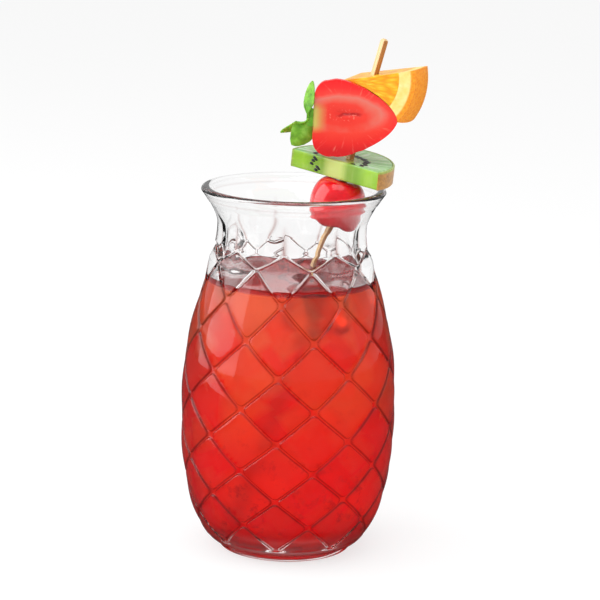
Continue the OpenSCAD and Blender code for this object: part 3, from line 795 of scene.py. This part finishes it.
leaves = []
for turn, length, width, curl, twist in LEAVES:
    rows = []
    for i in range(LEAF_STEPS + 1):
        t = i / LEAF_STEPS
        x, z = leaf_mid(t, length, curl)
        ahead = leaf_mid(t + 0.02, length, curl) - leaf_mid(t - 0.02, length, curl)
        way = math.atan2(ahead[1], ahead[0])
        spin = math.radians(twist) * float(ease(unit(2.5 * t)))
        swollen = 0.28 * (1 - t) + max(0.002, 1 - abs(2 * t ** 0.9 - 1) ** 2.2) ** 0.62
        half = LEAF_W / 2 * width * swollen * (1 + 0.02 * math.sin(50 * t))
        across = np.linspace(-1, 1, 11)[:, None]
        u = np.array([-math.sin(way) * math.sin(spin), math.cos(spin), math.cos(way) * math.sin(spin)])
        v = np.array([-math.sin(way) * math.cos(spin), -math.sin(spin), math.cos(way) * math.cos(spin)])
        middle = np.array([x, 0, z]) + u * half * across + v * (0.15 * half * np.abs(across) + LEAF_T / 2)
        thick = v * LEAF_T * (0.2 + 0.3 * (1 - across ** 2))
        rows.append(np.concatenate([middle - thick, (middle + thick)[::-1]]))
    leaf, leaf_faces = loft(rows, rows[0].mean(axis=0), rows[-1].mean(axis=0))
    place = Matrix.Rotation(math.radians(-turn), 4, "X") @ Matrix.Rotation(math.radians(-90), 4, "Y")
    leaves.append(([place @ Vector(point) for point in leaf], leaf_faces))
hub = np.radians(np.linspace(0, 180, 15))
rows = []
for x, r in ((-1.4, 1.2), (-1.2, 2.6), (-0.4, 3.5), (0.6, 3.65), (1.15, 3.4)):
    rows.append(np.stack([np.full(len(hub), x), r * np.sin(hub), r * np.cos(hub)], axis=1))
leaves.append(loft(rows, (-1.4, 0.4, 0), (1.15, 0.4, 0)))
points, faces = gather(leaves)
calyx = add_piece("strawberry_leaves", points, faces, berry_place, 60)
weld(calyx, 0.000001)

# Orange wedge
EDGE_ANGLE = math.radians(40)
orange_place = (on_pick(ORANGE_S) @ Matrix.Rotation(-ORANGE_TURN, 4, "Z")
                @ Matrix.Rotation(ORANGE_TILT, 4, "X") @ place_mm(ORANGE_CORE[0], ORANGE_CORE[1], 0))

# The hollow that the berry presses into it
room = np.concatenate([berry_points(berry_outline(30), 0.02), berry_points(BERRY[-1:] + (0.05, 0), 0)])
room = np.concatenate([room, room - (0, 0.2, 0)])
room = np.concatenate([room, room - (0, 0, BERRY_L)])
hollow_mesh = bmesh.new()
for point in room:
    hollow_mesh.verts.new(on_pick(BERRY_S) @ (Vector(point) * MM))
bmesh.ops.convex_hull(hollow_mesh, input=hollow_mesh.verts)
bmesh.ops.delete(hollow_mesh, geom=[v for v in hollow_mesh.verts if not v.link_faces], context="VERTS")
bmesh.ops.recalc_face_normals(hollow_mesh, faces=hollow_mesh.faces)
hollow_data = bpy.data.meshes.new("hollow")
hollow_mesh.to_mesh(hollow_data)
hollow_mesh.free()
hollow_piece = bpy.data.objects.new("hollow", hollow_data)
scene.collection.objects.link(hollow_piece)


def press(piece, place):
    """Cuts the berry's hollow from a piece, trims it to the berry's face and notes its points anew."""
    step = piece.modifiers.new("press", "BOOLEAN")
    step.operation = "DIFFERENCE"
    step.solver = "EXACT"
    step.object = hollow_piece
    mesh = bpy.data.meshes.new_from_object(piece.evaluated_get(bpy.context.evaluated_depsgraph_get()))
    piece.modifiers.clear()
    piece.data = mesh
    work = bmesh.new()
    work.from_mesh(mesh)
    parts = work.verts[:] + work.edges[:] + work.faces[:]
    front = Vector((0, -BERRY_CUT - 0.1, 0)) * MM
    bmesh.ops.bisect_plane(work, geom=parts, dist=1e-7, plane_co=front, plane_no=(0, -1, 0),
                           clear_outer=True)
    bmesh.ops.holes_fill(work, edges=[e for e in work.edges if e.is_boundary], sides=0)
    bmesh.ops.recalc_face_normals(work, faces=work.faces)
    work.to_mesh(mesh)
    work.free()
    back = place.inverted()
    own = mesh.attributes.get("local") or mesh.attributes.new("local", "FLOAT_VECTOR", "POINT")
    own.data.foreach_set("vector", [c for v in mesh.vertices for c in back @ v.co])


def wedge(name, inner, outer, steps):
    """A sector between two spheres, cut by two planes through the core and two across it."""
    n_r, n_a, n_y = steps
    points = []
    faces = []

    def at(u, s, v):
        """A point, each of its three shares from 0 to 1: outwards, round the core and along it."""
        y = ORANGE_DEPTH * v - ORANGE_FRONT
        r0 = math.sqrt(max(0, inner ** 2 - y ** 2))
        r1 = math.sqrt(outer ** 2 - y ** 2)
        r = r0 + (r1 - r0) * u
        turn = WEDGE * (2 * s - 1)
        return (r * math.cos(turn), y, r * math.sin(turn))

    def face(make, n, m):
        start = len(points)
        for i in range(n + 1):
            for j in range(m + 1):
                points.append(make(i / n, j / m))
        for i in range(n):
            for j in range(m):
                a = start + i * (m + 1) + j
                faces.append((a, a + 1, a + m + 2, a + m + 1))

    face(lambda u, s: at(u, s, 0), n_r, n_a)
    face(lambda u, s: at(u, s, 1), n_r, n_a)
    face(lambda u, v: at(u, 1, v), n_r, n_y)
    face(lambda u, v: at(u, 0, v), n_r, n_y)
    face(lambda s, v: at(1, s, v), n_a, n_y)
    if inner:
        face(lambda s, v: at(0, s, v), n_a, n_y)
    piece = add_piece(name, points, faces, orange_place)
    weld(piece)
    press(piece, orange_place)
    piece.data.polygons.foreach_set("use_smooth", [True] * len(piece.data.polygons))
    piece.data.set_sharp_from_angle(angle=EDGE_ANGLE)
    soft = piece.modifiers.new("eased", "BEVEL")
    soft.width = 0.35 * MM
    soft.segments = 2
    soft.limit_method = "ANGLE"
    soft.angle_limit = EDGE_ANGLE
    return piece


orange = wedge("orange_pulp", 0, ORANGE_R - PEEL_T, (26, 26, 22))
peel = wedge("orange_rind", ORANGE_R - PEEL_T, ORANGE_R, (6, 30, 24))
bpy.data.objects.remove(hollow_piece)

# Materials of the pieces
paint = Paint("clear glass").set(Transmission_Weight=1.0, IOR=1.42, Roughness=0.0)
# The glass is tinted dark red along groove flanks, creases and the bead line, a painted shade
paint.set(Base_Color=paint.mix(paint.attribute("flank"), (1, 1, 1, 1), (0.34, 0.13, 0.11, 1)))
paint.set(Normal=paint.bump(paint.noise(55, 1.5, 0.4), 0.12, 0.002))
paint.set(Specular_IOR_Level=paint.span(paint.attribute("wet"), 0, 1, 0.5, 0.05))
paint.on(glass)

# The drink shades from red below to orange above; pale blocks are painted light of the ice in it, each pane
# is painted lighter or darker, and dark streaks are painted shade
paint = Paint("drink")
x, y, z = paint.split()
cloud = paint.noise(30, 1.5, 0.5, distortion=0.5)
drift = paint.times(paint.minus(cloud, 0.5), 0.25)
level = paint.plus(paint.span(z, 0.007, 0.110), drift)
tone = paint.ramp(level, [(0.0, srgb(255, 0, 6)), (0.25, srgb(255, 2, 4)), (0.5, srgb(255, 8, 0)),
                          (0.75, srgb(255, 40, 6)), (0.95, srgb(255, 84, 28))])
pale = paint.ramp(level, [(0.0, srgb(255, 20, 18)), (0.35, srgb(255, 60, 26)), (0.6, srgb(255, 104, 40)),
                          (0.95, srgb(255, 140, 84))])
leant = paint.merge(paint.plus(paint.times(x, 0.8), paint.times(z, 0.6)), y,
                    paint.minus(paint.times(z, 0.8), paint.times(x, 0.6)))
# Pale blocks are painted light, as if from ice behind the surface
painted_ice_light = paint.cells(64, leant, metric="CHEBYCHEV")
patchy = paint.mix(paint.span(painted_ice_light, 0.22, 0.42, 0.85, 0.0), tone, pale)
# Each pane is painted lighter or darker, a painted light and shade
pane_light_and_shade = paint.attribute("pane_light_and_shade")
patchy = paint.mix(paint.span(pane_light_and_shade, 0.45, 1.0), patchy, pale)
patchy = paint.mix(paint.span(pane_light_and_shade, 0.0, 0.3, 0.5, 0.0), patchy, srgb(222, 0, 8))
# Dark streaks, stronger lower down, are painted shade
painted_dark_streaks = paint.span(paint.noise(130, 4, 0.65), 0.56, 0.68, 0.0, 0.75)
painted_dark_streaks = paint.times(painted_dark_streaks, paint.span(level, 0.1, 0.6, 1.0, 0.15))
patchy = paint.mix(painted_dark_streaks, patchy, srgb(150, 0, 6))
# The top surface is painted a darker red, a painted shade
paint.set(Base_Color=paint.mix(paint.span(z, 0.1078, 0.1086), patchy, srgb(150, 4, 4)))
inner = paint.new("ShaderNodeNewGeometry").outputs["Backfacing"]
paint.set(Transmission_Weight=paint.span(inner, 0, 1, 0.88, 1.0))
paint.set(IOR=1.33, Roughness=paint.span(z, 0.1075, 0.1088, 0.42, 0.03), Specular_IOR_Level=0.1)
depth = paint.new("ShaderNodeVolumeAbsorption")
depth.inputs["Color"].default_value = (1.0, 0.3, 0.12, 1)
depth.inputs["Density"].default_value = 16.0
paint.put(paint.out.inputs["Volume"], depth.outputs[0])
paint.on(drink)

# Under the surface ice bends light hardly more than the drink round it
for name, bend, clear, tint, cubes in (("ice in the drink", 1.04, 1.0, (1.0, 0.8, 0.7, 1), ice[:9]),
                                       ("ice on the drink", 1.2, 0.99, (1.0, 0.93, 0.92, 1), ice[9:])):
    paint = Paint(name).set(Transmission_Weight=clear, IOR=bend)
    frost = paint.noise(120, 3, 0.6)
    paint.set(Base_Color=paint.ramp(frost, [(0.35, (1.0, 0.9, 0.88, 1)), (0.7, tint)]))
    paint.set(Roughness=paint.span(frost, 0.35, 0.7, 0.08, 0.3))
    paint.set(Normal=paint.bump(paint.noise(240, 3, 0.6), 0.25, 0.0006))
    paint.on(*cubes)

paint = Paint("bamboo").set(Roughness=0.6)
x, y, z = paint.split()
fibre = paint.noise(1.0, 4, 0.6, paint.stretch((x, 3200), (y, 3200), (z, 45)))
# One face is painted brown and the rest pale: painted shade on the shaded face, painted light on the lit
# ones
split = paint.ramp(fibre, [(0.3, srgb(214, 168, 112)), (0.55, srgb(234, 198, 148)),
                           (0.75, srgb(244, 216, 174))])
painted_shaded_side = paint.ramp(fibre, [(0.3, srgb(150, 92, 40)), (0.55, srgb(178, 116, 56)), (0.75, srgb(204, 146, 84))])
paint.set(Base_Color=paint.mix(paint.span(y, -0.00115, -0.00095, 1, 0), split, painted_shaded_side))
paint.set(Normal=paint.bump(fibre, 0.35, 0.0003))
paint.on(pick)

paint = Paint("cherry").set(Roughness=0.12, Coat_Weight=0.6, Coat_Roughness=0.04, Subsurface_Weight=0.35)
paint.set(Subsurface_Radius=(1.0, 0.12, 0.1), Subsurface_Scale=0.004)
spot = paint.noise(160, 3, 0.55)
paint.set(Base_Color=paint.ramp(spot, [(0.3, srgb(206, 6, 22)), (0.6, srgb(232, 16, 32)),
                                       (0.8, srgb(242, 48, 54))]))
paint.set(Normal=paint.bump(paint.noise(420, 2, 0.5), 0.06, 0.0005))
paint.on(cherry)

# Kiwi: a pale core, darker round the seeds, and a painted wet sheen, paler streaks, on the upper face
paint = Paint("kiwi flesh").set(Roughness=0.22, Coat_Weight=0.25, Subsurface_Weight=0.25)
paint.set(Subsurface_Radius=(0.5, 1.0, 0.2), Subsurface_Scale=0.003)
x, y, z = paint.split()
r = paint.radius(x, y)
swirl = paint.math("ARCTAN2", y, x)
streak = paint.noise(1.0, 3, 0.6, paint.stretch((swirl, 9), (r, 90), (z, 60)))
shade = paint.ramp(paint.times(r, 46),
                   [(0.0, srgb(206, 214, 132)), (0.2, srgb(190, 204, 108)), (0.32, srgb(128, 164, 44)),
                    (0.5, srgb(120, 164, 34)), (0.72, srgb(150, 194, 44)), (0.96, srgb(140, 184, 46))])
shade = paint.mix(paint.span(streak, 0.5, 0.8, 0, 0.35), shade, srgb(196, 216, 116))
# The upper face is painted paler, a painted sheen
painted_top_sheen = paint.ramp(streak, [(0.3, srgb(112, 168, 84)), (0.52, srgb(150, 200, 128)),
                            (0.75, srgb(214, 236, 206))])
upper = paint.times(paint.span(z, 0.0069, 0.0071), paint.span(r, 0.007, 0.0105))
paint.set(Base_Color=paint.mix(upper, shade, painted_top_sheen))
paint.set(Normal=paint.bump(paint.plus(streak, paint.noise(500, 2)), 0.2, 0.0004))
paint.on(kiwi)
Paint("kiwi seed").set(Base_Color=srgb(22, 18, 14), Roughness=0.3).on(kiwi_seeds)

paint = Paint("kiwi skin").set(Roughness=0.85, Sheen_Weight=0.4)
fuzz = paint.noise(700, 4, 0.7)
x, y, z = paint.split()
brown = paint.ramp(fuzz, [(0.3, srgb(142, 92, 28)), (0.6, srgb(186, 130, 48)), (0.8, srgb(210, 164, 84))])
green = paint.ramp(fuzz, [(0.3, srgb(126, 148, 48)), (0.6, srgb(152, 176, 66)), (0.8, srgb(180, 196, 96))])
pared = paint.math("MAXIMUM", paint.span(x, -0.006, 0.006, 1, 0), paint.span(z, 0.0062, 0.0069))
paint.set(Base_Color=paint.mix(pared, brown, green))
paint.set(Normal=paint.bump(fuzz, 0.5, 0.0004))
paint.on(kiwi_skin)

# Strawberry: the cut face has a pale oval, a slit in it painted dark as painted shade, fibres round it and a
# green stalk end
paint = Paint("strawberry").set(Roughness=0.28, Coat_Weight=0.25, Subsurface_Weight=0.25)
paint.set(Subsurface_Radius=(1.0, 0.25, 0.15), Subsurface_Scale=0.003)
x, y, z = paint.split()
x_mid = paint.minus(x, 0.0145)
r = paint.radius(paint.times(x_mid, 0.85), z)
swirl = paint.math("ARCTAN2", z, x_mid)
fibre = paint.noise(1.0, 4, 0.6, paint.merge(paint.times(swirl, 11), paint.times(r, 130), 0.0))
soft = paint.minus(paint.noise(150, 2), 0.5)
oval = paint.radius(paint.times(paint.minus(x, 0.012), 31), paint.times(paint.minus(z, 0.0016), 71))
oval = paint.plus(oval, paint.times(soft, 0.16))
halo = paint.ramp(oval, [(0.0, srgb(230, 44, 34)), (0.3, srgb(234, 62, 48)), (0.42, srgb(226, 104, 88)),
                         (0.48, srgb(222, 118, 104)), (0.58, srgb(240, 64, 54)), (0.72, srgb(247, 40, 40)),
                         (1.0, srgb(232, 26, 30))])
plain = paint.ramp(oval, [(0.0, srgb(228, 42, 34)), (0.5, srgb(238, 62, 44)), (0.8, srgb(232, 36, 32)),
                          (1.0, srgb(214, 22, 26))])
flesh = paint.mix(paint.span(paint.plus(z, paint.times(soft, 0.01)), -0.006, 0.002), plain, halo)
streaked = paint.times(paint.span(fibre, 0.58, 0.82, 0, 0.55), paint.span(oval, 0.5, 0.62))
flesh = paint.mix(streaked, flesh, srgb(250, 150, 128))
off_slit = paint.math("ABSOLUTE", paint.minus(paint.plus(z, paint.times(soft, 0.005)), 0.002))
off_middle = paint.math("ABSOLUTE", paint.minus(x, 0.015))
# The slit in the hollow is painted deep red, a painted shade
slit_shade = paint.times(paint.span(off_slit, 0.0003, 0.0011, 1, 0), paint.span(off_middle, 0.0035, 0.0055, 1, 0))
flesh = paint.mix(paint.times(slit_shade, 0.8), flesh, srgb(176, 14, 18))
crumb = paint.span(paint.noise(1100, 2), 0.6, 0.7, 0, 0.7)
crumb = paint.times(crumb, paint.span(oval, 0.16, 0.26, 1, 0))
flesh = paint.mix(crumb, flesh, srgb(244, 132, 112))
stalk = paint.span(paint.math("ABSOLUTE", z), 0.003, 0.0062, 1, 0)
stalk = paint.times(paint.span(x, 0.0020, 0.0068, 1, 0), stalk)
glow = paint.ramp(x, [(0.0, srgb(206, 200, 96)), (0.003, srgb(206, 190, 92)), (0.0055, srgb(204, 140, 100))])
flesh = paint.mix(stalk, flesh, glow)
skin = paint.ramp(paint.noise(130, 3), [(0.3, srgb(190, 10, 18)), (0.7, srgb(226, 26, 26))])
paint.set(Base_Color=paint.mix(paint.span(y, 0.0012, 0.0022), flesh, skin))
paint.set(Normal=paint.bump(paint.plus(fibre, paint.noise(420, 2)), 0.2, 0.0005))
paint.on(berry)
Paint("strawberry seed").set(Base_Color=srgb(226, 186, 92), Roughness=0.4).on(berry_seeds)

paint = Paint("leaf").set(Roughness=0.5, Subsurface_Weight=0.1)
vein = paint.noise(300, 3, 0.6)
paint.set(Base_Color=paint.ramp(vein, [(0.3, srgb(66, 128, 18)), (0.55, srgb(104, 172, 30)),
                                       (0.8, srgb(150, 206, 74))]))
paint.set(Normal=paint.bump(vein, 0.3, 0.0004))
paint.on(calyx)

paint = Paint("orange flesh").set(Roughness=0.32, Coat_Weight=0.08, Subsurface_Weight=0.3)
paint.set(Subsurface_Radius=(1.0, 0.5, 0.1), Subsurface_Scale=0.004)
x, y, z = paint.split()
swirl = paint.math("ARCTAN2", z, x)
vesicle = paint.cells(1.0, paint.stretch((swirl, 16), (paint.radius(x, z), 230), (y, 420)))
paint.set(Base_Color=paint.ramp(vesicle, [(0.05, srgb(252, 204, 66)), (0.4, srgb(246, 178, 32)),
                                          (0.8, srgb(240, 152, 20))]))
paint.set(Normal=paint.bump(vesicle, 0.4, 0.0006))
paint.on(orange)

paint = Paint("orange peel").set(Roughness=0.42)
x, y, z = paint.split()
rind = paint.span(paint.radius(x, y, z), 0.0269, 0.0273)
pore = paint.cells(900, jitter=0.9)
zest = paint.ramp(pore, [(0.1, srgb(234, 128, 12)), (0.4, srgb(242, 144, 18)), (0.9, srgb(248, 160, 36))])
pith = paint.ramp(paint.noise(400, 3), [(0.3, srgb(238, 208, 108)), (0.7, srgb(246, 224, 146))])
paint.set(Base_Color=paint.mix(rind, pith, zest))
paint.set(Normal=paint.bump(pore, 0.35, 0.0005))
paint.on(peel)

# Bodies: each piece with the node that it replaces, the body that it rides and its slot
for piece, node, body, slot in (
        (glass, "glass", "glass", "glass"),
        (drink, "drink", "glass", "drink"),
        (pick, "pick", "skewer", "pick"),
        (cherry, "cherry", "cherry", "cherry"),
        (kiwi, "kiwi_flesh", "kiwi", "kiwi_flesh"),
        (kiwi_skin, "kiwi_skin", "kiwi", "kiwi_skin"),
        (kiwi_seeds, None, "kiwi", "kiwi_flesh"),
        (berry, "strawberry_half", "strawberry", "strawberry"),
        (berry_seeds, None, "strawberry", "strawberry"),
        (calyx, "strawberry_calyx", "strawberry", "calyx"),
        (orange, "orange_flesh", "orange", "orange_flesh"),
        (peel, "orange_peel", "orange", "orange_peel")):
    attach(piece, body)
    if node:
        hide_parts(node)
for i, cube in enumerate(ice):
    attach(cube, "glass")
    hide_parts("ice_cube_%d" % (i + 1))

# Floor
mesh = bpy.data.meshes.new("floor")
mesh.from_pydata([(-3, -3, 0), (3, -3, 0), (3, 3, 0), (-3, 3, 0)], [], [(0, 1, 2, 3)])
floor = bpy.data.objects.new("floor", mesh)
scene.collection.objects.link(floor)
floor.location.z = -0.0002
paint = Paint("floor").set(Roughness=0.9, Specular_IOR_Level=0.0)
ray = paint.new("ShaderNodeLightPath").outputs
through = ray["Is Transmission Ray"]
mirrored = paint.times(ray["Is Glossy Ray"], paint.minus(1.0, through))
# In reflections the floor is painted nearly black, a painted dark reflection
paint.set(Base_Color=paint.mix(mirrored, (0.95, 0.95, 0.95, 1), (0.05, 0.05, 0.05, 1)))
seen = paint.math("MAXIMUM", paint.times(ray["Is Camera Ray"], 0.7), paint.times(through, 0.9))
glow = paint.new("ShaderNodeEmission")
glow.inputs["Strength"].default_value = 1.0
blend = paint.fill(paint.new("ShaderNodeMixShader"), seen, paint.shader.outputs[0], glow.outputs[0])
paint.put(paint.out.inputs["Surface"], blend)
paint.on(floor)

# Light: a pale room that is darker to the front and right, and a tall soft box at the left
world = bpy.data.worlds.new("studio")
scene.world = world
world.use_nodes = True
studio = Nodes(world.node_tree)
ray = studio.new("ShaderNodeLightPath").outputs
parts = studio.new("ShaderNodeSeparateXYZ")
studio.put(parts.inputs[0], studio.new("ShaderNodeTexCoord").outputs["Generated"])
turned = studio.plus(studio.times(parts.outputs[1], 0.75), studio.times(parts.outputs[0], -0.45))
shade = studio.span(turned, -0.75, 0.4, 0.5, 1.0)
clear = studio.span(studio.math("ABSOLUTE", parts.outputs[0]), 0.92, 0.985, 1.0, 0.8)


def world_mix(share, a, b):
    return studio.plus(studio.times(a, studio.minus(1.0, share)), studio.times(b, share))


# Mirrored it is dimmer, through glass it is white with a greyer card at each side, and seen directly white
level = world_mix(ray["Is Glossy Ray"], shade, studio.times(shade, 0.6))
level = world_mix(ray["Is Transmission Ray"], level, clear)
level = world_mix(ray["Is Camera Ray"], level, 1.0)
room = studio.new("ShaderNodeBackground")
studio.put(room.inputs["Color"], (1, 1, 1, 1))
studio.put(room.inputs["Strength"], level)
studio.put(studio.new("ShaderNodeOutputWorld").inputs["Surface"], room.outputs[0])


def soft_box(name, at, aim, size, power):
    lamp = bpy.data.lights.new(name, "AREA")
    lamp.shape = "RECTANGLE"
    lamp.size, lamp.size_y = size
    lamp.energy = power
    box = bpy.data.objects.new(name, lamp)
    scene.collection.objects.link(box)
    box.location = at
    box.rotation_euler = (Vector(aim) - Vector(at)).to_track_quat("-Z", "Y").to_euler()
    return box


soft_box("key", (-0.95, -0.05, 0.4), (0, 0, 0.09), (1.0, 1.3), 8.0)
soft_box("front", (-0.4, -1.0, 0.8), (0, 0, 0.1), (1.0, 1.0), 5.0).visible_glossy = False
soft_box("fill", (0.9, -0.4, 0.5), (0, 0, 0.1), (0.6, 1.0), 2.0).visible_glossy = False
soft_box("top", (0, -0.2, 1.1), (0, 0, 0.1), (0.8, 0.8), 3.0)

# Camera at the photograph's place
LIFT, ROLL = math.radians(14.015), math.radians(1.558)
DISTANCE, AIM_Z = 0.9689, 0.073
camera = bpy.data.cameras.new("camera")
camera.sensor_width = 36
camera.lens = 145.62
camera.shift_x = 0.0183
camera.shift_y = 0.1123
camera.clip_start = 0.05
view = bpy.data.objects.new("camera", camera)
scene.collection.objects.link(view)
scene.camera = view
view.matrix_world = (Matrix.Translation((0, -DISTANCE * math.cos(LIFT), AIM_Z + DISTANCE * math.sin(LIFT)))
                     @ Matrix.Rotation(math.pi / 2 - LIFT, 4, "X") @ Matrix.Rotation(ROLL, 4, "Z"))
